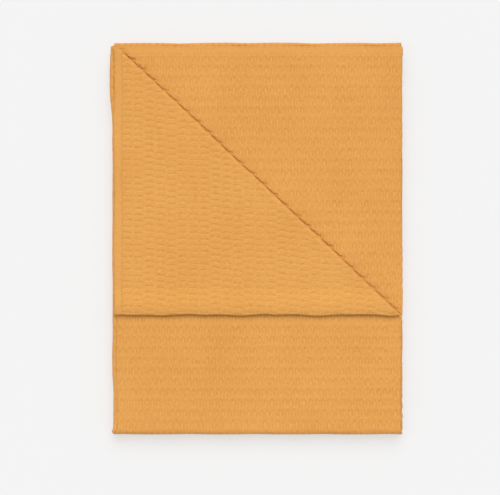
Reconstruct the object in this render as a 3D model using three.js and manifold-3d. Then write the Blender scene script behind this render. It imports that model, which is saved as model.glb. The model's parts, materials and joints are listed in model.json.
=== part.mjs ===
// Folded throw blanket.
//
// One rectangular cotton throw, hemmed at its two short ends, is halved four times into a flat pad of sixteen
// leaves, and the free corner of the top leaf is turned back over the pad along a diagonal.
//
// Millimetres, +Z up. The origin is under the middle of the pad, on the surface that it rests on. +Y runs along
// the pad towards the open hems, -Y is the side of the last fold, -X is the side where the leaves turn round,
// and +X is the side with the throw's free edges.
//
// Leaves are numbered from the bottom. Leaves 1 to 8 are the lower pack and 9 to 16 the upper pack: the last
// fold laid the upper pack over the lower one, so it is the fold that opens first.
import * as THREE from "three";
import { mergeVertices } from "three/addons/utils/BufferGeometryUtils.js";
import Module from "manifold-3d";

const wasm = await Module();
wasm.setup();

// The pad
const padWidth = 375; // along X: the 1500 mm side of the throw, folded in four
const padLength = 500; // along Y: the 2000 mm side of the throw, folded in four
const cloth = 1.1; // one thickness of the woven cotton
const clearance = 0.3; // between leaves, and between a leaf and the fold that it runs into
const packLeaves = 8; // leaves in each of the two packs

// The open ends
const hemSetback = 6; // the upper pack's hems stop this far short of the lower pack's folds
const hemWidth = 10; // the turned and stitched end hem
const threadWidth = 0.8; // the row of stitches that holds the hem

// The turned-back corner
const cornerInset = 1; // from the leaf's left edge to the corner's left edge
const cornerTopInset = 3; // from the pad's top to the upper end of the diagonal
const cornerTipInset = 3.5; // from the pad's right edge to the lower end of the diagonal
const cornerHeight = 345; // along Y, from the upper end of the diagonal to the corner's lower edge

const mustard = 0xe6a456;
const clothMaterial = { color: mustard, roughness: 0.95, metalness: 0 };
const hemMaterial = { color: 0xeaac60, roughness: 0.95, metalness: 0 };
const threadMaterial = { color: 0xf0bc78, roughness: 0.8, metalness: 0 };

// Everything below follows from the sizes above.
const pitch = cloth + clearance;
const leafCount = 2 * packLeaves;
const halfCloth = cloth / 2;
const arcSteps = 8;

// A fold that joins two leaves runs half round a tube: this is its radius to the middle of the cloth.
const foldRadius = (lower, upper) => ((upper - lower) * pitch) / 2;
const foldHeight = (lower, upper) => halfCloth + ((lower + upper - 2) * pitch) / 2;
const foldReach = (lower, upper) => foldRadius(lower, upper) + halfCloth;

// Where the flat leaves end and the folds begin: the widest fold on each side touches the pad's outline.
const left = -padWidth / 2 + foldReach(1, packLeaves);
const right = padWidth / 2 - foldReach(1, 2);
const bottom = -padLength / 2 + foldReach(1, leafCount);
const top = padLength / 2 - foldReach(1, packLeaves / 2);
const hemTop = padLength / 2 - hemSetback;
const hemBottom = hemTop - hemWidth;

const throwBlanket = new THREE.Group();

function place(name, geometry, look) {
  const mesh = new THREE.Mesh(geometry, new THREE.MeshStandardMaterial(look));
  mesh.name = name;
  throwBlanket.add(mesh);
  return mesh;
}

const numbered = (word, number) => `${word}_${String(number).padStart(2, "0")}`;

// A flat piece of cloth with the given outline, lying at the level of one leaf.
function flatPiece(outline, level) {
  const shape = new THREE.Shape(outline.map(([x, y]) => new THREE.Vector2(x, y)));
  const geometry = new THREE.ExtrudeGeometry(shape, { depth: cloth, bevelEnabled: false });
  return geometry.translate(0, 0, (level - 1) * pitch);
}

function rectangle(x0, x1, y0, y1) {
  return [[x0, y0], [x1, y0], [x1, y1], [x0, y1]];
}

// The cross-section of a folded strip of cloth, drawn with its outer side towards local X, and its tail,
// which runs flat from the start of the bend back into a leaf.
function foldSection(radius, from, to, tail = 0) {
  const shape = new THREE.Shape();
  const outer = radius + halfCloth;
  const inner = radius - halfCloth;
  const side = Math.sign(from);
  if (tail > 0) {
    shape.moveTo(-tail, side * inner);
    shape.lineTo(-tail, side * outer);
  }
  shape.absarc(0, 0, outer, from, to, from > to);
  shape.absarc(0, 0, inner, to, from, from < to);
  shape.closePath();
  return shape;
}

function foldStrip(section, length) {
  const options = { depth: length, bevelEnabled: false, curveSegments: arcSteps };
  return new THREE.ExtrudeGeometry(section, options).translate(0, 0, -length / 2);
}

// Carries a fold from its section's own axes into the pad: local X points outwards in the pad's plane, local Y
// points up, and the strip runs along the edge that it folds.
function foldPlace(outwards, x, y, z) {
  const up = new THREE.Vector3(0, 0, 1);
  const along = new THREE.Vector3().crossVectors(outwards, up);
  return new THREE.Matrix4().makeBasis(outwards, up, along).setPosition(x, y, z);
}

const towardsLeft = new THREE.Vector3(-1, 0, 0);
const towardsRight = new THREE.Vector3(1, 0, 0);
const towardsTop = new THREE.Vector3(0, 1, 0);
const towardsBottom = new THREE.Vector3(0, -1, 0);
const quarter = Math.PI / 2;

// A fold between two leaves of one pack, as one half-round strip.
function packFold(name, lower, upper, outwards, x, y, length) {
  const section = foldSection(foldRadius(lower, upper), -quarter, quarter);
  const fold = place(name, foldStrip(section, length), clothMaterial);
  fold.applyMatrix4(foldPlace(outwards, x, y, foldHeight(lower, upper)));
}

// The leaves. Some end at the right in a fold and the others in the throw's own side edge, and the leaves of
// the upper pack end at the top in a hem.
const foldedAtRight = [5, 6, 7, 8, 9, 10, 11, 12];
const leafRight = (level) => (foldedAtRight.includes(level) ? right - clearance : padWidth / 2);
const stitchedHem = leafCount - 1; // the uppermost whole leaf, whose hem lies open to view

function leafTop(level) {
  if (level <= packLeaves) return top - clearance;
  const stitching = level === stitchedHem ? threadWidth + clearance : 0;
  return hemBottom - clearance - stitching;
}

for (let level = 1; level < leafCount; level += 1) {
  const outline = rectangle(left + clearance, leafRight(level), bottom + clearance, leafTop(level));
  place(numbered("leaf", level), flatPiece(outline, level), clothMaterial);
}

// The end hems of the whole leaves of the upper pack, and the stitching of the one that shows.
for (let level = packLeaves + 1; level < leafCount; level += 1) {
  const outline = rectangle(left + clearance, leafRight(level), hemBottom, hemTop);
  place(numbered("end_hem", level), flatPiece(outline, level), hemMaterial);
}
const threadTop = hemBottom - clearance;
const threadOutline = rectangle(left + clearance, leafRight(stitchedHem), threadTop - threadWidth, threadTop);
place(numbered("hem_stitching", stitchedHem), flatPiece(threadOutline, stitchedHem), threadMaterial);

// The last fold, along the bottom edge. It joins every leaf of the lower pack to one of the upper pack, so its
// eight nested folds are each cut at mid height: the lower half stays with the lower pack, and the upper half
// swings open with the upper pack.
const bottomLeft = left + clearance;
const bottomMiddle = (bottomLeft + right - clearance) / 2;
const bottomSpan = right - clearance - bottomLeft;
for (let level = 1; level <= packLeaves; level += 1) {
  const partner = leafCount + 1 - level;
  const radius = foldRadius(level, partner);
  const cut = clearance / 2 / radius;
  const matrix = foldPlace(towardsBottom, bottomMiddle, bottom, foldHeight(level, partner));
  const lowerHalf = foldStrip(foldSection(radius, -quarter, -cut), bottomSpan);
  const upperHalf = foldStrip(foldSection(radius, quarter, cut), bottomSpan);
  place(numbered("bottom_fold", level), lowerHalf, clothMaterial).applyMatrix4(matrix);
  place(numbered("bottom_fold", partner), upperHalf, clothMaterial).applyMatrix4(matrix);
}

// The folds along the left edge: four nested ones in each pack.
for (const [first, last, end] of [[1, packLeaves, top], [packLeaves + 1, leafCount, hemTop]]) {
  const length = end - clearance - (bottom + clearance);
  const middle = (end + bottom) / 2;
  for (let inwards = 0; inwards < packLeaves / 2; inwards += 1) {
    const lower = first + inwards;
    const upper = last - inwards;
    packFold(`left_fold_${lower}_${upper}`, lower, upper, towardsLeft, left, middle, length);
  }
}

// The folds along the top edge, which only the lower pack has: two nested ones in each half of it.
for (const [lower, upper] of [[1, 4], [2, 3], [5, 8], [6, 7]]) {
  const name = `top_fold_${lower}_${upper}`;
  packFold(name, lower, upper, towardsTop, bottomMiddle, top, bottomSpan);
}

// The folds along the right edge, each joining two neighbouring leaves.
for (const lower of [5, 7, 9, 11]) {
  const end = lower > packLeaves ? hemBottom : top;
  const length = end - clearance - (bottom + clearance);
  const name = `right_fold_${lower}_${lower + 1}`;
  packFold(name, lower, lower + 1, towardsRight, right, (end + bottom) / 2, length);
}

// The diagonal along which the top leaf turns back on itself. The corner's left edge is the throw's end hem,
// and its lower edge the throw's side edge.
const cornerLevel = leafCount + 1;
const cornerLeft = left + clearance + cornerInset;
const cornerTop = padLength / 2 - cornerTopInset;
const cornerBottom = cornerTop - cornerHeight;
const cornerTip = padWidth / 2 - cornerTipInset;
const cornerThread = cornerLeft + hemWidth + clearance;
const cornerCloth = cornerThread + threadWidth + clearance;
const slope = (cornerBottom - cornerTop) / (cornerTip - cornerLeft);
const across = new THREE.Vector3(-slope, 1, 0).normalize();
const cornerRadius = foldRadius(leafCount, cornerLevel);
const cornerReach = foldReach(leafCount, cornerLevel);

// The height on the pad of a line that runs beside the diagonal, set back from it towards the corner.
function besideDiagonal(x, setback) {
  return cornerTop + slope * (x - cornerLeft) - setback / across.y;
}

const flatEdge = (x) => besideDiagonal(x, cornerReach);

// One geometry out of two that run into each other.
function joined(first, second) {
  const [a, b] = [first, second].map((geometry) => {
    const bare = geometry.clone();
    bare.deleteAttribute("normal");
    bare.deleteAttribute("uv");
    const merged = mergeVertices(bare);
    const vertProperties = new Float32Array(merged.attributes.position.array);
    const triVerts = new Uint32Array(merged.index.array);
    return new wasm.Manifold(new wasm.Mesh({ numProp: 3, vertProperties, triVerts }));
  });
  const mesh = a.add(b).getMesh();
  const geometry = new THREE.BufferGeometry();
  geometry.setAttribute("position", new THREE.BufferAttribute(mesh.vertProperties, 3));
  geometry.setIndex(new THREE.BufferAttribute(mesh.triVerts, 1));
  geometry.computeVertexNormals();
  return geometry;
}

// The rounded edge of the turned-back cloth: half of it belongs to the top leaf and half to the corner. Its
// tail runs into the flat cloth, and its square ends stay clear of the hem's stitches and of the lower edge.
const rollTail = 2;
const rollDepth = cornerReach + rollTail;
const rollStartX = cornerCloth + rollDepth * across.x;
const rollStart = new THREE.Vector2(rollStartX, besideDiagonal(rollStartX, 0));
const rollEndY = cornerBottom + rollDepth * across.y;
const rollEnd = new THREE.Vector2(cornerLeft + (rollEndY - cornerTop) / slope, rollEndY);

function cornerRoll(side) {
  const cut = clearance / 2 / cornerRadius;
  const section = foldSection(cornerRadius, side * quarter, side * cut, rollTail);
  const x = (rollStart.x + rollEnd.x) / 2 - cornerReach * across.x;
  const y = (rollStart.y + rollEnd.y) / 2 - cornerReach * across.y;
  const strip = foldStrip(section, rollStart.distanceTo(rollEnd));
  return strip.applyMatrix4(foldPlace(across, x, y, foldHeight(leafCount, cornerLevel)));
}

// The top leaf is whole below the diagonal.
const topLeafOutline = [
  [left + clearance, bottom + clearance],
  [padWidth / 2, bottom + clearance],
  [padWidth / 2, flatEdge(padWidth / 2)],
  [left + clearance, flatEdge(left + clearance)],
];
const topLeaf = joined(flatPiece(topLeafOutline, leafCount), cornerRoll(-1));
place(numbered("leaf", leafCount), topLeaf, clothMaterial);

// The corner lies on the top leaf, one level above it.
function underDiagonal(x0, x1) {
  return [[x0, cornerBottom], [x1, cornerBottom], [x1, flatEdge(x1)], [x0, flatEdge(x0)]];
}

const cornerPoint = cornerLeft + (cornerBottom - flatEdge(cornerLeft)) / slope;
const cornerOutline = [
  [cornerCloth, cornerBottom],
  [cornerPoint, cornerBottom],
  [cornerCloth, flatEdge(cornerCloth)],
];
const corner = joined(flatPiece(cornerOutline, cornerLevel), cornerRoll(1));
place("turned_corner", corner, clothMaterial);
const cornerHem = underDiagonal(cornerLeft, cornerLeft + hemWidth);
place("corner_hem", flatPiece(cornerHem, cornerLevel), hemMaterial);
const cornerStitches = underDiagonal(cornerThread, cornerThread + threadWidth);
place("corner_hem_stitching", flatPiece(cornerStitches, cornerLevel), threadMaterial);

export default throwBlanket;
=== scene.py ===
import json
import math
import random

import bmesh
import bpy
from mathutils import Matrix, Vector


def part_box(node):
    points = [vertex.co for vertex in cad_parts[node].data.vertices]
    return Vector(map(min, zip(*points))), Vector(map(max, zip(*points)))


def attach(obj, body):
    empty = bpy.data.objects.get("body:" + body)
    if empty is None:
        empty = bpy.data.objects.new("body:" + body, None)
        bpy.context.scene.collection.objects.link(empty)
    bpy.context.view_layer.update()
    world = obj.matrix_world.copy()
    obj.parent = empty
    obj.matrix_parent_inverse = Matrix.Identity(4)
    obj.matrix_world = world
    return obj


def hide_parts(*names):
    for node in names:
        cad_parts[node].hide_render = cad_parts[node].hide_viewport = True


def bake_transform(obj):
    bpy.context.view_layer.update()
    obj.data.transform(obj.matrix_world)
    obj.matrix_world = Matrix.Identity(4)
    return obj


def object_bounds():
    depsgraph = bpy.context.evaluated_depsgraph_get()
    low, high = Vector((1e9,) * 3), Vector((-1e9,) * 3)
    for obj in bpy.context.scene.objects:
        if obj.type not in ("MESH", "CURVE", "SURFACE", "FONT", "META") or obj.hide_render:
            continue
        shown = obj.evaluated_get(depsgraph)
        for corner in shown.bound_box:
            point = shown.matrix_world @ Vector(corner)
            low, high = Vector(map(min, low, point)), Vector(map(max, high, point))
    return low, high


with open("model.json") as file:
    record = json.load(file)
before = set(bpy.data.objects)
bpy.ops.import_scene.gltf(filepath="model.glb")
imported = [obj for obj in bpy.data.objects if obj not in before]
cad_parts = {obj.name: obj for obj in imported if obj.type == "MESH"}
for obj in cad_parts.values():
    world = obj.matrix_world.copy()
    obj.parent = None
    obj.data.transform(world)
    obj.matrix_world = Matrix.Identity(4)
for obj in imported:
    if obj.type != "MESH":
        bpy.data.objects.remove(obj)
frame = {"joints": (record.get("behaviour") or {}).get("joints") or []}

cad_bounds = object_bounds()

# ---------------------------------------------------------------------------------------------------------
# Studio. The throw lies on a pale seamless floor, partly lit from within, and is looked at from straight
# above. A broad soft light stands beyond its top edge, and the room fills in the rest.

floor_size = 6.0
floor_grey = (0.36, 0.36, 0.363, 1)
floor_glow = 0.53
light_spread = 55
light_strength = 1.80
light_warmth = (1.0, 0.99, 0.975)
light_stands = Vector((0.03, 0.75, 1.0))
room_strength = 0.60
white = (1, 1, 1, 1)
view_width = 0.6388
lens = 100.0
sensor = 36.0
aim = Vector((-0.0077, -0.0121, 0.02))

floor_mesh = bmesh.new()
bmesh.ops.create_grid(floor_mesh, x_segments=1, y_segments=1, size=floor_size / 2)
floor_data = bpy.data.meshes.new("studio_floor")
floor_mesh.to_mesh(floor_data)
floor_mesh.free()
floor = bpy.data.objects.new("studio_floor", floor_data)
bpy.context.collection.objects.link(floor)

floor_paint = bpy.data.materials.new("floor_paint")
floor_paint.use_nodes = True
floor_shader = floor_paint.node_tree.nodes["Principled BSDF"]
floor_shader.inputs["Base Color"].default_value = floor_grey
floor_shader.inputs["Emission Color"].default_value = white
floor_shader.inputs["Emission Strength"].default_value = floor_glow
floor_shader.inputs["Roughness"].default_value = 0.95
floor_shader.inputs["Specular IOR Level"].default_value = 0.1
floor_data.materials.append(floor_paint)

camera = bpy.data.objects.new("camera", bpy.data.cameras.new("camera"))
bpy.context.collection.objects.link(camera)
camera.data.lens = lens
camera.data.sensor_width = sensor
camera.data.clip_end = 20
camera.location = aim + Vector((0, 0, view_width * lens / sensor))
bpy.context.scene.camera = camera

softbox = bpy.data.objects.new("softbox", bpy.data.lights.new("softbox", "SUN"))
bpy.context.collection.objects.link(softbox)
softbox.data.angle = math.radians(light_spread)
softbox.data.energy = light_strength
softbox.data.color = light_warmth
softbox.rotation_mode = "QUATERNION"
softbox.rotation_quaternion = light_stands.to_track_quat("Z", "Y")

room = bpy.data.worlds.new("room")
bpy.context.scene.world = room
room.use_nodes = True
room.node_tree.nodes["Background"].inputs["Color"].default_value = white
room.node_tree.nodes["Background"].inputs["Strength"].default_value = room_strength
bpy.context.scene.view_settings.view_transform = "Standard"

# ---------------------------------------------------------------------------------------------------------
# Leaves and the last fold. The throw is one soft cotton cloth, woven in rows of small raised tongues. Each
# sheet is one lower leaf, its turn round the last fold and the upper leaf that it leads to. It is cut flat
# and then folded, and the outermost ends at the diagonal where the corner turns back.

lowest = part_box("leaf_01")
open_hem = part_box("end_hem_15")
leaves = 8
thickness = 0.0007
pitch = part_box("leaf_02")[0].z - lowest[0].z
left = lowest[0].x
right = cad_bounds[1].x
bend_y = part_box("bottom_fold_01")[1].y
lower_top = lowest[1].y
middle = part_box("bottom_fold_16")[1].z / 2
outer_height = middle - (lowest[0].z + lowest[1].z) / 2

# The line along which the corner of the top leaf turns back.
corner_joint = next(joint for joint in frame["joints"] if joint["name"] == "corner_fold")
hinge = Vector(corner_joint["pos_m"])
downhill = -Vector(corner_joint["axis"])
uphill = Vector((-downhill.y, downhill.x, 0))
roll_reach = 0.0034
roll_gap = 0.0004
roll_foot = Vector((hinge.x, hinge.y, 0)) - uphill * (roll_reach + roll_gap)
cad_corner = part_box("corner_hem")

# The weave: tongues in rows, each inside an arch whose half width, foot and rise are shares of its cell.
row_pitch = 0.0133
puff_pitch = 0.00815
arch_reach = 0.25
arch_rise = 0.46
arch_top = 0.24
puff_height = 0.0006
fine_row = row_pitch / 6
fine_column = puff_pitch / 4
coarse_step = 0.012

# Each row is shifted sideways by two waves: how far, in metres, and how fast, in radians from row to row.
row_shifts = ((0.0018, 2.1), (0.0009, 5.3))

# How far the pad is drawn in along its left side, how far it spreads again at its foot, and how much lower
# the upper leaves lie where no top leaf covers them.
drawn_in_above = 0.0033
drawn_in_below = 0.0012
spread_at_foot = 0.0026
sunk = 0.0011
squareness = 0.52


def sway(v):
    """How far each row of tongues is shifted sideways from the others."""
    row = math.floor(v / row_pitch)
    return sum(shift * math.sin(turn * row) for shift, turn in row_shifts)


def firmness(u, v):
    """How firmly the grooves are drawn in, which varies a little over the cloth."""
    return 0.8 + 0.2 * math.sin(u * 291 + v * 157) * math.sin(v * 213 - u * 131)


def puff(u, v):
    """The height of the face's weave, from 0 to 1: rows of little tongues, each inside an arched groove."""
    aside = ((u + sway(v)) / puff_pitch) % 1 - 0.5
    along = (v / row_pitch) % 1
    ring = math.hypot(aside / arch_reach, max(along - arch_rise, 0.0) / arch_top)
    groove = math.exp(-(((ring - 1) / 0.38) ** 2)) * min(1.0, along / 0.12)
    tongue = 0.2 * math.exp(-(ring**2) * 2) * min(1.0, along / 0.2)
    return max(0.0, 0.75 + tongue - 0.75 * groove * firmness(u, v))


def ease(value, start, end):
    """From 0 at start to 1 at end, with soft ends."""
    share = max(0.0, min(1.0, (value - start) / (end - start)))
    return share * share * (3 - 2 * share)


def waver(place):
    """The unevenness of cloth that lies loose: slow waves in height, and lines that wander a little."""
    x, y, z = place
    share = max(0.0, z / cad_bounds[1].z)
    slow = math.sin(x * 23 + y * 9 + 0.6) * math.sin(y * 17 - x * 6 + 1.1)
    ripple = math.sin(x * 71 + y * 12) * math.sin(y * 53 + 2.0)
    level = round(z / pitch)
    dx = 0.0004 * math.sin(y * 37 + level * 1.9) + 0.0002 * math.sin(y * 88 + level)
    dy = 0.0003 * math.sin(x * 74 + level * 2.3)
    return Vector((x + dx, y + dy, z + share * (0.00015 * slow + 0.0001 * ripple)))


def settle(place):
    """Cloth that has lain folded: drawn in along the left side, and lower where no top leaf covers it."""
    x, y, z = waver(place)
    drawn_in = drawn_in_above * ease(y, 0.19, 0.14) + drawn_in_below * ease(y, -0.17, -0.20)
    drawn_in -= spread_at_foot * ease(y, -0.240, -0.250)
    x += drawn_in * ease(x, -0.08, -0.18)
    beside = (Vector((x, y, 0)) - roll_foot).dot(uphill)
    open_part = ease(beside, 0.0, roll_reach + 0.003)
    open_part *= ease(y, cad_corner[0].y - 0.01, cad_corner[0].y + 0.02)
    return Vector((x, y, z - open_part * sunk * ease(z, middle, open_hem[1].z)))


def lay(x, v, height):
    """Folds the flat cloth round the last fold: v runs along it from the lower pack to the upper pack."""
    reach = math.pi / 2 * height
    if abs(v) <= reach:
        turn = v / height
        out = height * math.cos(turn) ** squareness
        up = height * math.copysign(abs(math.sin(turn)) ** squareness, turn)
        return Vector((x, bend_y - out, middle + up))
    return Vector((x, bend_y + abs(v) - reach, middle + math.copysign(height, v)))


def cut_cloth(columns, rows):
    """A flat piece of cloth with a vertex at each column and row."""
    cloth = bmesh.new()
    across, along = len(columns) - 1, len(rows) - 1
    bmesh.ops.create_grid(cloth, x_segments=across, y_segments=along, size=1)
    for vertex in cloth.verts:
        column = round((vertex.co.x + 1) / 2 * across)
        row = round((vertex.co.y + 1) / 2 * along)
        vertex.co = (columns[column], rows[row], 0)
    return cloth


def steps(start, end, step):
    """Even places from start to end, about one step apart."""
    count = max(1, round((end - start) / step))
    return [start + (end - start) * i / count for i in range(count + 1)]


def mark_weave(cloth, weave):
    """Writes each vertex's place on the weave, in metres, before the cloth is folded."""
    layer = cloth.loops.layers.uv.new("weave")
    for face in cloth.faces:
        for loop in face.loops:
            loop[layer].uv = weave(loop.vert.co)


def finish_piece(name, cloth, material, wall=0.0, facing=None):
    """Makes an object of a piece of cloth, its outside the way that facing points, with its thickness."""
    if facing is not None:
        outwards = [face.normal.dot(facing(face.calc_center_median())) > 0 for face in cloth.faces]
        if outwards.count(True) < outwards.count(False):
            bmesh.ops.reverse_faces(cloth, faces=cloth.faces)
    for face in cloth.faces:
        face.smooth = True
    data = bpy.data.meshes.new(name)
    cloth.to_mesh(data)
    cloth.free()
    piece = bpy.data.objects.new(name, data)
    bpy.context.collection.objects.link(piece)
    data.materials.append(material)
    if wall:
        shell = piece.modifiers.new("wall", "SOLIDIFY")
        shell.thickness = wall
        shell.offset = -1
    return piece


def outside(place):
    """Away from the last fold's axis: the outside of every sheet that runs round it."""
    if place.y < bend_y:
        return Vector((0, place.y - bend_y, place.z - middle))
    return Vector((0, 0, place.z - middle))


class Recipe:
    """Adds nodes to one material: each call makes a node and returns its output."""

    def __init__(self, material):
        self.tree = material.node_tree

    def node(self, kind, **values):
        made = self.tree.nodes.new(kind)
        for key, value in values.items():
            setattr(made, key, value)
        return made

    def feed(self, socket, value):
        if isinstance(value, bpy.types.NodeSocket):
            self.tree.links.new(value, socket)
        else:
            socket.default_value = value

    def math(self, operation, *values):
        made = self.node("ShaderNodeMath", operation=operation)
        for socket, value in zip(made.inputs, values):
            self.feed(socket, value)
        return made.outputs[0]

    def between(self, value, low, high, out_low=0.0, out_high=1.0):
        made = self.node("ShaderNodeMapRange", interpolation_type="SMOOTHSTEP")
        for socket, number in zip(made.inputs, (value, low, high, out_low, out_high)):
            self.feed(socket, number)
        return made.outputs[0]

    def noise(self, place, scale, detail=2.0, roughness=0.5):
        made = self.node("ShaderNodeTexNoise")
        self.feed(made.inputs["Vector"], place)
        made.inputs["Scale"].default_value = scale
        made.inputs["Detail"].default_value = detail
        made.inputs["Roughness"].default_value = roughness
        return made.outputs["Fac"]

    def mix(self, share, first, second):
        made = self.node("ShaderNodeMix", data_type="RGBA")
        self.feed(made.inputs["Factor"], share)
        self.feed(made.inputs["A"], first)
        self.feed(made.inputs["B"], second)
        return made.outputs["Result"]


def arched_grooves(r, u, v):
    """The grooves of the cloth's face: an arch round each little tongue, open at its lower end. The result
    sets the bump and also paints shade into each groove and a highlight onto each tongue.
    """
    aside = r.math("SUBTRACT", r.math("FRACT", r.math("MULTIPLY", u, 1 / puff_pitch)), 0.5)
    along = r.math("FRACT", r.math("MULTIPLY", v, 1 / row_pitch))
    legs = r.math("MULTIPLY", aside, 1 / arch_reach)
    top = r.math("MULTIPLY", r.math("MAXIMUM", r.math("SUBTRACT", along, arch_rise), 0.0), 1 / arch_top)
    ring = r.math("SQRT", r.math("ADD", r.math("MULTIPLY", legs, legs), r.math("MULTIPLY", top, top)))
    groove = r.math("MULTIPLY", r.between(ring, 0.35, 1.05), r.between(ring, 1.05, 1.9, 0.9, 0.0))
    # Painted highlight: the tongue's middle counts as negative depth, which lightens its colour.
    tongue = r.between(ring, 0.0, 0.60, 0.8, 0.0)
    return r.math("MULTIPLY", r.math("SUBTRACT", groove, tongue), r.between(along, 0.0, 0.30))


def cotton(name, light, deep, grooves=None, thread_pitch=0.0007):
    """Mustard cotton: its weave, its fine threads, a soft nap and a little uneven dye; where grooves are
    given, painted shade darkens them and a painted highlight lightens the raised parts beside them.
    """
    material = bpy.data.materials.new(name)
    material.use_nodes = True
    r = Recipe(material)
    shader = material.node_tree.nodes["Principled BSDF"]
    weave = r.node("ShaderNodeUVMap", uv_map="weave").outputs["UV"]
    where = r.node("ShaderNodeTexCoord").outputs["Object"]
    apart = r.node("ShaderNodeSeparateXYZ")
    r.feed(apart.inputs[0], weave)
    cloudy = r.noise(where, 14.0, 3.0)
    patchy = r.noise(weave, 110.0, 2.0)
    mottled = r.noise(weave, 420.0, 3.0, 0.6)
    fibres = r.noise(weave, 2600.0, 2.0, 0.6)
    drift = r.math("MULTIPLY", r.math("SUBTRACT", r.noise(weave, 130.0, 1.0), 0.5), 0.0022)
    v = r.math("ADD", apart.outputs[1], r.math("MULTIPLY", drift, -0.7))
    row = r.math("FLOOR", r.math("MULTIPLY", v, 1 / row_pitch))
    swings = []
    for shift, turn in row_shifts:
        swings.append(r.math("MULTIPLY", r.math("SINE", r.math("MULTIPLY", row, turn)), shift))
    u = r.math("ADD", r.math("ADD", apart.outputs[0], drift), r.math("ADD", *swings))

    thread_turn = 2 * math.pi / thread_pitch
    warp = r.math("SINE", r.math("MULTIPLY", u, thread_turn))
    weft = r.math("SINE", r.math("MULTIPLY", v, thread_turn))
    threads = r.math("MULTIPLY", warp, weft)
    drawn = r.node("ShaderNodeCombineXYZ")
    r.feed(drawn.inputs[0], r.math("MULTIPLY", apart.outputs[0], 4.0))
    r.feed(drawn.inputs[1], apart.outputs[1])
    streaks = r.noise(drawn.outputs[0], 210.0, 2.0)
    shade = r.math("ADD", r.math("MULTIPLY", cloudy, 0.30), r.math("MULTIPLY", mottled, 0.35))
    shade = r.math("ADD", shade, r.math("MULTIPLY", r.math("SUBTRACT", streaks, 0.28), 0.8))
    shade = r.math("ADD", shade, r.math("MULTIPLY", r.math("SUBTRACT", fibres, 0.5), 0.45))
    height = r.math("ADD", r.math("MULTIPLY", threads, 0.00007), r.math("MULTIPLY", fibres, 0.00012))
    height = r.math("ADD", height, r.math("MULTIPLY", streaks, 0.00045))
    if grooves:
        cell = r.node("ShaderNodeCombineXYZ")
        r.feed(cell.inputs[0], r.math("FLOOR", r.math("MULTIPLY", u, 1 / puff_pitch)))
        r.feed(cell.inputs[1], row)
        chance = r.node("ShaderNodeTexWhiteNoise", noise_dimensions="2D")
        r.feed(chance.inputs["Vector"], cell.outputs[0])
        # How strongly the grooves are drawn, in their bump and in their painted shade, varies in patches and
        # from cell to cell.
        patchy_grooves = r.between(patchy, 0.30, 0.62, 0.6, 1.0)
        uneven = r.between(chance.outputs["Value"], 0.0, 1.0, 0.6, 1.0)
        depth = r.math("MULTIPLY", grooves(r, u, v), r.math("MULTIPLY", patchy_grooves, uneven))
        # Painted shade and highlight: the colour is darkened where the grooves sink and lightened where the
        # tongues or ridges rise, as light falls on them; the same depth also sets the bump below.
        shade = r.math("SUBTRACT", r.math("ADD", shade, 0.06), r.math("MULTIPLY", depth, 0.25))
        height = r.math("SUBTRACT", height, r.math("MULTIPLY", depth, 0.00018))
    r.feed(shader.inputs["Base Color"], r.mix(r.between(shade, 0.0, 1.0), (*deep, 1), (*light, 1)))
    r.feed(shader.inputs["Roughness"], r.between(mottled, 0.2, 0.8, 0.86, 0.97))
    bump = r.node("ShaderNodeBump")
    bump.inputs["Strength"].default_value = 1.0
    bump.inputs["Distance"].default_value = 1.0
    r.feed(bump.inputs["Height"], height)
    r.feed(shader.inputs["Normal"], bump.outputs[0])
    shader.inputs["Specular IOR Level"].default_value = 0.2
    shader.inputs["Sheen Weight"].default_value = 0.25
    shader.inputs["Sheen Roughness"].default_value = 0.6
    shader.inputs["Sheen Tint"].default_value = (1.0, 0.85, 0.6, 1)
    return material


face_cotton = cotton("face_cotton", (0.89, 0.445, 0.113), (0.67, 0.27, 0.050), arched_grooves)

cloth_width = right - left
hem_start = open_hem[0].y
hem_overlap = 0.0015
hem_rise = 0.0006
top_inset = 0.001
side_step = 0.0012

# The sheets whose relief shows, with the length of a row step in fine rows, and the places beside the
# diagonal where the second sheet is cut so that the line pressed into it stays sharp.
row_detail = {1: 1, 2: 1, 8: 2}
crease_cuts = (-0.0010, 0.0, 0.0008, 0.0016, 0.0026, 0.0040)

# What the turned corner has pressed into the pad: under its lower edge, and along the diagonal in the
# second leaf and in those below it.
edge_dent = 0.0012
crease_dent = 0.0015
inner_crease_dent = 0.0010
inner_dent_reach = 0.022

# The right side: a strip along which each sheet is scalloped by its rows, wanders and stands a little in.
side_strip = 0.003
scallop_depth = 0.0006
flat_scallop_depth = 0.0002
side_wander = 0.0004
side_inset = 0.0008
outer_inset = 0.0026

bulge_out = 0.0016
bulge_at = 26


def sheet_height(number):
    return outer_height - (number - 1) * pitch


def slack(number):
    """Extra cloth gathered inside the last fold, which the inner sheets need when the pad is opened."""
    return 2 * (number - 1) * pitch


def pressed_in(place, number):
    """How deep the turned corner's two edges have pressed into an upper leaf: sharply in the top two."""
    top = number <= 2
    below = place.y - cad_corner[0].y + 0.0005
    width = (0.012 if below > 0 else 0.010) if top else inner_dent_reach
    depth = edge_dent * math.exp(-((below / width) ** 2))
    depth *= ease(place.x, 0.186, 0.165) * ease(place.x, left, left + 0.02)
    beside = (place - roll_foot).dot(uphill) - roll_reach
    if number > 1 and place.y > cad_corner[0].y:
        pocket = max(0.0, math.sin(2 * math.pi * (place.y / row_pitch + 0.1))) ** 2
        width = (0.0019 + 0.0030 * pocket if beside > 0 else 0.004) if top else inner_dent_reach
        line = (crease_dent if top else inner_crease_dent) * math.exp(-((beside / width) ** 2))
        depth = max(depth, line)
    return depth * min(1.0, sheet_height(number) / sheet_height(3))


def bulge(turn):
    """How far the outermost cloth stands off the last fold: fullest a little above its middle."""
    return bulge_out * math.exp(-(((math.degrees(turn) - bulge_at) / bulge_at) ** 2))


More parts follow.
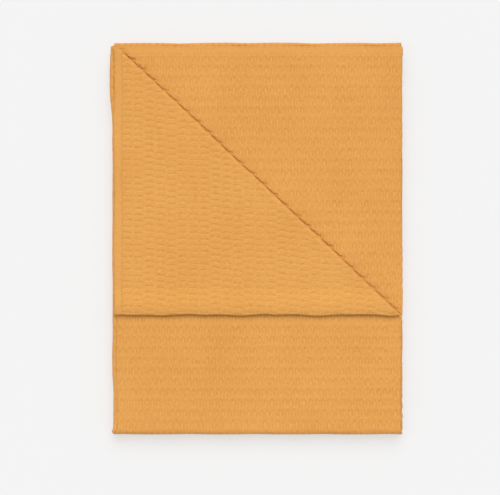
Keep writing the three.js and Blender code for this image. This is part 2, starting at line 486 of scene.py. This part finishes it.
def cut_along(cloth, place, **which):
    """Cuts a piece of cloth parallel to the diagonal, through a place."""
    whole = list(cloth.verts) + list(cloth.edges) + list(cloth.faces)
    return bmesh.ops.bisect_plane(cloth, geom=whole, plane_co=place, plane_no=uphill, **which)


def fold_sheet(number):
    """One sheet, cut flat with its relief and folded round the last fold."""
    height = sheet_height(number)
    reach = math.pi / 2 * height
    coarse = number not in row_detail
    fine = coarse_step if coarse else fine_row * row_detail[number]
    column = coarse_step if coarse else fine_column
    below = lower_top - bend_y + reach
    upper_end = cad_bounds[1].y - top_inset if number == 1 else hem_start + hem_overlap
    above = upper_end - bend_y + reach
    bend = [place for place in steps(-reach, reach, min(fine_row, reach * 0.8)) if abs(place) > 1e-5]
    under = {2: 0.020, 8: fine}.get(number, coarse_step)
    rows = steps(-below, -reach, under)[:-1] + bend + steps(reach, above, fine)[1:]
    columns = steps(left, right - (side_step if number > leaves / 2 else 0), column)
    cloth = cut_cloth(columns, rows)
    diagonal = Vector((roll_foot.x, roll_foot.y - bend_y + reach, 0))
    if number == 1:
        cut_along(cloth, diagonal, clear_outer=True)
    if number == 2:
        for beside in crease_cuts:
            cut_along(cloth, diagonal + uphill * (roll_reach + beside))
    mark_weave(cloth, lambda co: (co.x, co.y + math.copysign(slack(number) / 2, co.y)))
    for vertex in cloth.verts:
        x, v = vertex.co.x, vertex.co.y
        lift = 0.0
        if not coarse:
            open_side = v > -reach or number == 8
            lift = puff(x, v) * puff_height if open_side else 0.0
        if number == 8:
            lift *= -0.5
        if number == 1 and abs(v) < reach:
            lift += bulge(v / height)
        if v > reach:
            place = Vector((x, v + bend_y - reach, 0))
            lift -= pressed_in(place, number)
        if number == 2 and v > reach:
            at_hem = ease(place.y, hem_start - 0.007, hem_start - 0.001)
            lift += at_hem * (hem_rise - pressed_in(place, number) - lift)
        edge = max(0.0, 1 - (right - x) / side_strip)
        straight = number == 1 or v + bend_y - reach > cad_corner[0].y
        scallop = flat_scallop_depth if straight else scallop_depth
        scallop *= math.cos(2 * math.pi * v / row_pitch)
        inset = outer_inset * ease(v, 0.0, reach) if number == 1 else side_inset
        x += edge * (scallop + side_wander * math.sin(number * 5.1 + v * 21) - inset)
        vertex.co = settle(lay(x, v, height + lift))
    cloth.normal_update()
    piece = finish_piece(f"throw_sheet_{number}", cloth, face_cotton, thickness, outside)
    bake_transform(piece)
    partner = 2 * leaves + 1 - number
    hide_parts(f"leaf_{number:02d}", f"leaf_{partner:02d}")
    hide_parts(f"bottom_fold_{number:02d}", f"bottom_fold_{partner:02d}")
    return piece


sheets = [fold_sheet(number) for number in range(1, leaves + 1)]

# ---------------------------------------------------------------------------------------------------------
# Left folds. Along the left edge each sheet turns round into another one: four half-round folds of the same
# cloth, nested in each other, which go round the last fold with the sheets.


fold_thinness = 0.8
fold_squaring = 0.8


def edge_fold(name, outer, inner, x, outwards, top, nodes, fine):
    """A half-round strip that joins two sheets along a side of the pad, from the lower to the upper pack."""
    radius = (sheet_height(outer) - sheet_height(inner)) / 2
    centre = (sheet_height(outer) + sheet_height(inner)) / 2
    reach = math.pi / 2 * centre
    around = steps(-math.pi / 2, math.pi / 2, math.pi / (12 if fine else 6))
    step = fine_row if fine else coarse_step
    bend = [place for place in steps(-reach, reach, min(step, reach / 6)) if abs(place) > 1e-5]
    rows = steps(bend_y - lower_top - reach, -reach, step)[:-1] + bend
    rows += steps(reach, top - bend_y + reach, step)[1:]
    cloth = cut_cloth(around, rows)

    def along_at(v, height):
        """The length along the cloth at one height, beside the length v along the strip's middle."""
        if abs(v) <= reach:
            return v * height / centre
        return math.copysign(abs(v) - reach + math.pi / 2 * height, v)

    def strip_weave(co):
        return (x + outwards * (math.pi / 2 - co.x) * radius, along_at(co.y, centre + radius))

    mark_weave(cloth, strip_weave)
    for vertex in cloth.verts:
        angle, v = vertex.co.x, vertex.co.y
        relief = puff(*strip_weave(vertex.co)) * puff_height * (1 + math.sin(angle)) / 2 if fine else 0.0
        grown = radius + relief
        height = centre + grown * math.sin(angle)
        if fine and abs(v) < reach:
            height += bulge(v / centre) * max(0.0, math.sin(angle))
        place = lay(x + outwards * grown * math.cos(angle), along_at(v, height), height)
        if abs(v) <= reach:
            inside = centre + radius - min(height, centre + radius)
            place.y -= fold_squaring * inside * math.cos(v / centre) ** squareness
        vertex.co = settle(place)
    cloth.normal_update()

    def out(place):
        near = math.hypot(place.y - bend_y, place.z - middle) if place.y < bend_y else abs(place.z - middle)
        return Vector((place.x - x, 0, 0)) + outside(place).normalized() * (near - centre)

    piece = finish_piece(name, cloth, face_cotton, fold_thinness * thickness, out)
    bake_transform(piece)
    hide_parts(*nodes)
    return piece


left_folds = []
for inwards in range(leaves // 2):
    outer, inner = 1 + inwards, leaves - inwards
    nodes = [f"left_fold_{outer}_{inner}", f"left_fold_{leaves + outer}_{leaves + inner}"]
    name = f"left_fold_{outer}"
    left_folds.append(edge_fold(name, outer, inner, left, -1, hem_start, nodes, inwards == 0))

# ---------------------------------------------------------------------------------------------------------
# Top and right folds. Both packs are folded again inside: four turns along the top of the lower pack, and
# two along the right side of each pack. Each is a half-round of the same cloth.


turn_fullness = 0.0018
thick_turn = 0.001


def side_turn(name, low, high, across_top, body, start, end, nodes):
    """A half-round that joins two leaves at the top edge or at the right edge of one pack."""
    low_leaf, high_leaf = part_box(f"leaf_{low:02d}"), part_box(f"leaf_{high:02d}")
    radius = (high_leaf[0].z - low_leaf[0].z) / 2
    centre = (low_leaf[0].z + high_leaf[1].z) / 2
    around = steps(-math.pi / 2, math.pi / 2, math.pi / (14 if radius > thick_turn else 8))
    full = across_top and high in (4, 8)
    cloth = cut_cloth(steps(start, end, fine_column if full else 0.004), around)
    edge = lower_top if across_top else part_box("right_fold_5_6")[0].x

    def turn_weave(co):
        return (co.x, edge + co.y * radius) if across_top else (edge + co.y * radius, co.x)

    mark_weave(cloth, turn_weave)
    for vertex in cloth.verts:
        along, angle = vertex.co.x, vertex.co.y
        slow = 0.0005 * math.sin(along * 74 + low) + 0.0003 * math.sin(along * 29 + high)
        out = (radius + slow + turn_fullness if full else radius) * math.cos(angle)
        place = Vector((along, edge + out, 0)) if across_top else Vector((edge + out, along, 0))
        place.z = centre + radius * math.sin(angle)
        vertex.co = settle(place)
    cloth.normal_update()

    def out_of_turn(spot):
        up = spot.z - centre
        return Vector((0, spot.y - edge, up)) if across_top else Vector((spot.x - edge, 0, up))

    piece = finish_piece(name, cloth, face_cotton, thickness, out_of_turn)
    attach(piece, body)
    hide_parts(*nodes)
    return piece


top_folds = []
for low, high in ((1, 4), (2, 3), (5, 8), (6, 7)):
    name = f"top_fold_{low}_{high}"
    right_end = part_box(name)[1].x + (side_step if high <= leaves // 2 else 0)
    top_folds.append(side_turn(f"top_turn_{low}", low, high, True, "lower_pack", left, right_end, [name]))
right_folds = []
for low, high in ((5, 6), (7, 8), (9, 10), (11, 12)):
    name = f"right_fold_{low}_{high}"
    body = "lower_pack" if high <= leaves else "upper_pack"
    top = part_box(name)[1].y
    right_folds.append(side_turn(f"right_turn_{low}", low, high, False, body, bend_y, top, [name]))

# ---------------------------------------------------------------------------------------------------------
# End hems. The cloth's ends are turned under twice and stitched down, so each leaf of the upper pack ends
# along the top in a flat, slightly padded band of plain cloth.

hem_cotton = cotton("hem_cotton", (0.87, 0.44, 0.115), (0.72, 0.31, 0.065))
hem_half = (open_hem[1].y - open_hem[0].y) / 2
hem_middle = (open_hem[1].y + open_hem[0].y) / 2
hem_sides = 24
tucked_in = 0.0016


def hem_band(start, end, step, half_height):
    """A flat rounded band, closed at its ends: x along it, y across it and z its height."""
    band = cut_cloth(steps(start, end, step), steps(0, 2 * math.pi, 2 * math.pi / hem_sides))
    mark_weave(band, lambda co: (co.x, co.y * hem_half * 0.65))
    for vertex in band.verts:
        along, angle = vertex.co.x, vertex.co.y
        across = math.copysign(abs(math.cos(angle)) ** 0.55, math.cos(angle)) * hem_half
        puckers = 1 + 0.10 * math.sin(along * 570) + 0.10 * math.sin(along * 233 + 1.7)
        height = math.copysign(abs(math.sin(angle)) ** 0.45, math.sin(angle)) * half_height * puckers
        vertex.co = (along, across, height)
    bmesh.ops.remove_doubles(band, verts=band.verts, dist=0.000002)
    open_ends = [edge for edge in band.edges if edge.is_boundary]
    bmesh.ops.holes_fill(band, edges=open_ends, sides=0)
    bmesh.ops.recalc_face_normals(band, faces=band.faces)
    return band


end_hems = []
for number in range(leaves + 1, 2 * leaves):
    name = f"end_hem_{number:02d}"
    low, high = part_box(name)
    top_one = number == 2 * leaves - 1
    band = hem_band(low.x, high.x, 0.0012 if top_one else 0.006, (high.z - low.z) / 2 - 0.00005)
    for vertex in band.verts:
        x, y, z = vertex.co
        loose = (y + hem_half) / (2 * hem_half)
        wander = 0.0006 * math.sin(x * 74 + number * 0.4) + 0.0004 * math.sin(x * 151 + number * 2.1)
        z -= pressed_in(Vector((x, hem_middle + y, 0)), 2) if top_one else 0
        y += hem_middle + loose * (wander - (0 if top_one else tucked_in))
        vertex.co = settle((x, y, (low.z + high.z) / 2 + z))
    piece = finish_piece(f"end_hem_band_{number:02d}", band, hem_cotton)
    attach(piece, "upper_pack")
    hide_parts(name)
    end_hems.append(piece)

# ---------------------------------------------------------------------------------------------------------
# Turned corner. The free corner of the top leaf is laid back over the pad, so it shows the cloth's back,
# with its rows standing upright. It turns in a soft roll along the diagonal, and swells along its lower edge.

corner_low = Vector((cad_corner[0].x, cad_corner[0].y, 0))
leaf_height = middle + sheet_height(1)
corner_height = (cad_corner[0].z + cad_corner[1].z) / 2
fold_top = 0.0022
fold_nose = hinge.z - leaf_height + 0.0006
spring = fold_top - (corner_height - leaf_height)
spring_reach = 0.0060
upright_row = 0.0141
upright_puff = 0.0078
hem_inner = cad_corner[1].x
hem_lap = 0.0006
diagonal_slope = 0.9459
swelling = 0.0039
rounding = 0.0014
dash_length = 0.80
back_relief = puff_height * 0.6


def dashed_grooves(r, u, v):
    """The grooves of the cloth's back: one short bowed dash behind each tongue. The result sets the bump and
    also paints shade into each dash and a highlight onto the low ridge beside it.
    """
    along = r.math("FRACT", r.math("MULTIPLY", v, 1 / row_pitch))
    bow = r.math("SUBTRACT", r.math("MULTIPLY", along, 2 / dash_length), 1.0)
    bow = r.math("MULTIPLY", r.math("MULTIPLY", bow, bow), 0.08)
    aside = r.math("FRACT", r.math("ADD", r.math("MULTIPLY", u, 1 / puff_pitch), bow))
    groove = r.math("MULTIPLY", r.between(aside, 0.24, 0.50), r.between(aside, 0.50, 0.76, 1.0, 0.0))
    # Painted highlight: the low ridge beside each dash counts as negative depth, which lightens its colour.
    ridge = r.math("MULTIPLY", r.between(aside, 0.0, 0.22), r.between(aside, 0.22, 0.42, 0.5, 0.0))
    groove = r.math("SUBTRACT", groove, ridge)
    low_end = r.between(along, 0.0, 0.15)
    high_end = r.between(along, dash_length, dash_length + 0.1, 1.0, 0.0)
    return r.math("MULTIPLY", groove, r.math("MULTIPLY", low_end, high_end))


back_cotton = cotton("back_cotton", (0.88, 0.445, 0.113), (0.68, 0.28, 0.052), dashed_grooves)


def dash(u, v):
    """The height of the back's weave, from 0 to 1: a low ridge with one bowed dash sunk into it."""
    along = (v / row_pitch) % 1
    bow = 0.08 * (along * 2 / dash_length - 1) ** 2
    aside = ((u + sway(v)) / puff_pitch + bow) % 1
    reach = max(0.0, math.sin(math.pi * min(1.0, along / (dash_length + 0.1)))) ** 0.5
    return 0.8 - 0.8 * math.exp(-(((aside - 0.5) / 0.17) ** 2)) * reach * firmness(u, v)


tip_x = hinge.x + (hinge.y - corner_low.y) / diagonal_slope
corner_columns = steps(hem_inner - hem_lap, tip_x, upright_row / 8)
corner_rows = steps(corner_low.y, hinge.y, upright_puff / 5)
corner = cut_cloth(corner_columns, corner_rows)
bmesh.ops.translate(corner, verts=corner.verts, vec=(0, 0, leaf_height + fold_top))
cut = cut_along(corner, roll_foot, clear_outer=True)
roll_edges = [item for item in cut["geom_cut"] if isinstance(item, bmesh.types.BMEdge)]
roll_centre = Vector((roll_foot.x, roll_foot.y, leaf_height + fold_top / 2))
bmesh.ops.spin(corner, geom=roll_edges, cent=roll_centre, axis=downhill, dvec=(0, 0, 0),
               angle=-math.pi, steps=14)


def unrolled(place):
    """Where a point of the turned corner lies once its roll is opened out flat."""
    out = (place - roll_centre).dot(uphill)
    if out < 1e-6 and place.z > roll_centre.z:
        return place.copy()
    angle = math.atan2(max(out, 0.0), place.z - roll_centre.z)
    return place + uphill * (roll_reach * angle * 2 / math.pi - out)


def overhang(place, out, lifted):
    """Presses the round roll into the fold's real shape: flat on top, narrow-nosed, leaning in below."""
    turn = math.atan2(out, place.z - roll_centre.z) / (math.pi / 2)
    if turn < 1:
        reach = math.sin(turn * math.pi / 2) ** 0.7
        height = fold_nose + (fold_top - fold_nose + lifted) * max(0.0, math.cos(turn * math.pi / 2)) ** 0.6
    else:
        reach = 1 - (turn - 1) ** 0.8
        height = fold_nose * (2 - turn)
    along = roll_reach * reach * uphill.y / -downhill.y * ease(place.y, 0.05, -0.09)
    flat = uphill * (roll_reach * reach - out) + downhill * along
    return place + flat + Vector((0, 0, leaf_height + height - place.z))


def lower_edge(y):
    """How high the corner stands along its lower edge: it rises towards the edge, and rounds over at it."""
    inside = y - corner_low.y
    return swelling * ease(inside, 0.036, 0.010) - rounding * max(0.0, 1 - inside / 0.009) ** 2


def corner_weave(place):
    """The place on the weave of a point of the corner, whose rows stand upright."""
    flat = unrolled(place)
    across = (flat.y - corner_low.y) * puff_pitch / upright_puff
    return (across, (flat.x - hem_inner) * row_pitch / upright_row)


mark_weave(corner, corner_weave)
for vertex in corner.verts:
    place = vertex.co.copy()
    out = (place - roll_centre).dot(uphill)
    lift = dash(*corner_weave(place)) * back_relief
    if out > 1e-6:
        wave = math.cos(2 * math.pi * (place.y - hem_start) / row_pitch)
        scallop = flat_scallop_depth * wave * out / (fold_top / 2)
        vertex.co = waver(overhang(place, out, lift + lower_edge(place.y)) + uphill * scallop)
    elif place.z < roll_centre.z:
        vertex.co = waver(place)
    else:
        sink = spring * (1 - math.exp(-((out / spring_reach) ** 2)))
        lift = max(lift, 0.0005 * ease(place.x, hem_inner + 0.006, hem_inner))
        loose = ease(place.y, corner_low.y + 0.012, corner_low.y)
        place.y += (0.0008 * math.sin(place.x * 62) + 0.0005 * math.sin(place.x * 131 + 1)) * loose
        vertex.co = waver(place + Vector((0, 0, lift - sink + lower_edge(place.y))))
bmesh.ops.recalc_face_normals(corner, faces=corner.faces)
corner.normal_update()


def out_of_corner(spot):
    beyond = (spot - roll_centre).dot(uphill)
    return uphill * max(0.0, beyond) + Vector((0, 0, spot.z - roll_centre.z if beyond > 0 else 1))


turned_corner = finish_piece("turned_corner_cloth", corner, back_cotton, thickness, out_of_corner)
turned_corner.data.materials.append(face_cotton)
turned_corner.modifiers["wall"].material_offset = 1
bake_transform(turned_corner)
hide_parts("turned_corner")

# The corner's left side is the end hem of the top leaf, turned back with it and cut off where it meets the
# roll.

hem_length = hinge.y - corner_low.y
band_half_height = 0.0005
corner_band = hem_band(0, hem_length + 0.004, 0.0025, band_half_height)
hem_centre = (cad_corner[0].x + cad_corner[1].x) / 2
for vertex in corner_band.verts:
    along, across, height = vertex.co
    loose = (hem_half - across) / (2 * hem_half)
    wander = (0.0004 * math.sin(along * 47) + 0.0002 * math.sin(along * 121)) * loose
    vertex.co = (hem_centre + across + wander, corner_low.y + along, corner_height + height)
cut_along(corner_band, roll_centre + uphill * roll_reach, clear_outer=True)
open_ends = [edge for edge in corner_band.edges if edge.is_boundary]
bmesh.ops.holes_fill(corner_band, edges=open_ends, sides=0)
bmesh.ops.recalc_face_normals(corner_band, faces=corner_band.faces)
for vertex in corner_band.verts:
    place = vertex.co.copy()
    inside = -(place - roll_centre).dot(uphill)
    lifted = spring * math.exp(-((max(0.0, inside) / spring_reach) ** 2))
    vertex.co = waver(place + Vector((0, 0, 0.0001 + lifted + lower_edge(place.y))))
corner_hem = finish_piece("corner_hem_band", corner_band, hem_cotton)
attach(corner_hem, "corner")
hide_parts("corner_hem")

# ---------------------------------------------------------------------------------------------------------
# Hem stitching. A lockstitch in matching thread holds each hem down: short rounded stitches in a single
# row, each pulled a little into the cloth.

thread = cotton("stitching_thread", (0.93, 0.55, 0.190), (0.80, 0.40, 0.105), thread_pitch=0.0004)
stitch_pitch = 0.0036
stitch_length = 0.0025
stitch_width = 0.0008
stitch_height = 0.0006
stitch_slant = 0.12


def stitch_row(name, first, last, along, place, lie, body, node):
    """One row of stitches from first to last, in metres along the hem."""
    row = bmesh.new()
    row.loops.layers.uv.new("weave")
    dice = random.Random(len(name))
    for number in range(int((last - first) / stitch_pitch)):
        at = first + (number + 0.5) * stitch_pitch
        made = bmesh.ops.create_uvsphere(row, u_segments=8, v_segments=4, radius=0.5)
        slant = dice.uniform(-stitch_slant, stitch_slant)
        for vertex in made["verts"]:
            x, y, z = vertex.co
            long = x * stitch_length
            wide = y * stitch_width + x * stitch_length * slant
            spot = place(at) + (Vector((long, wide, 0)) if along == "x" else Vector((-wide, long, 0)))
            vertex.co = lie(spot + Vector((0, 0, z * stitch_height)))
    layer = row.loops.layers.uv.active
    for face in row.faces:
        for loop in face.loops:
            loop[layer].uv = (loop.vert.co.x, loop.vert.co.y)
    piece = finish_piece(name, row, thread)
    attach(piece, body)
    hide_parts(node)
    return piece


hem_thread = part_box("hem_stitching_15")
corner_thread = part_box("corner_hem_stitching")
hem_line = (hem_thread[0].y + hem_thread[1].y) / 2
corner_line = (corner_thread[0].x + corner_thread[1].x) / 2


def on_end_hem(at):
    """A place on the top end hem, in line with its stitches."""
    return Vector((at, hem_line, middle + sheet_height(2) + 0.0005))


def on_corner_hem(at):
    """A place on the corner's hem, in line with its stitches."""
    return Vector((corner_line, at, corner_height + 0.0006 + lower_edge(at)))


end_stitches = stitch_row("end_hem_stitches", hem_thread[0].x + 0.003, hem_thread[1].x - 0.001, "x",
                          on_end_hem, settle, "upper_pack", "hem_stitching_15")
corner_stitches = stitch_row("corner_hem_stitches", corner_low.y + 0.001, corner_thread[1].y - 0.004, "y",
                             on_corner_hem, waver, "corner", "corner_hem_stitching")

# ---------------------------------------------------------------------------------------------------------
# What is cloth. For each folded sheet the area that it is cut to before it is folded is worked out, and the
# turns, hems and stitches that go with it are gathered.

triangle_share = 0.49
for number, piece in enumerate(sheets, start=1):
    flat_length = 2 * (lower_top - bend_y) + math.pi * sheet_height(number)
    if number > 1:
        flat_length += hem_start - lower_top
    area = cloth_width * flat_length
    if number == 1:
        area -= hem_length * (right - hinge.x) * triangle_share
    joined = [left_folds[number - 1]] if number <= leaves // 2 else []
    joined += [end_hems[leaves - number]] if number > 1 else []
    joined += [top_folds[number - 1]] if number <= 4 else [right_folds[number - 5]]
    joined += [end_stitches] if number == 2 else []
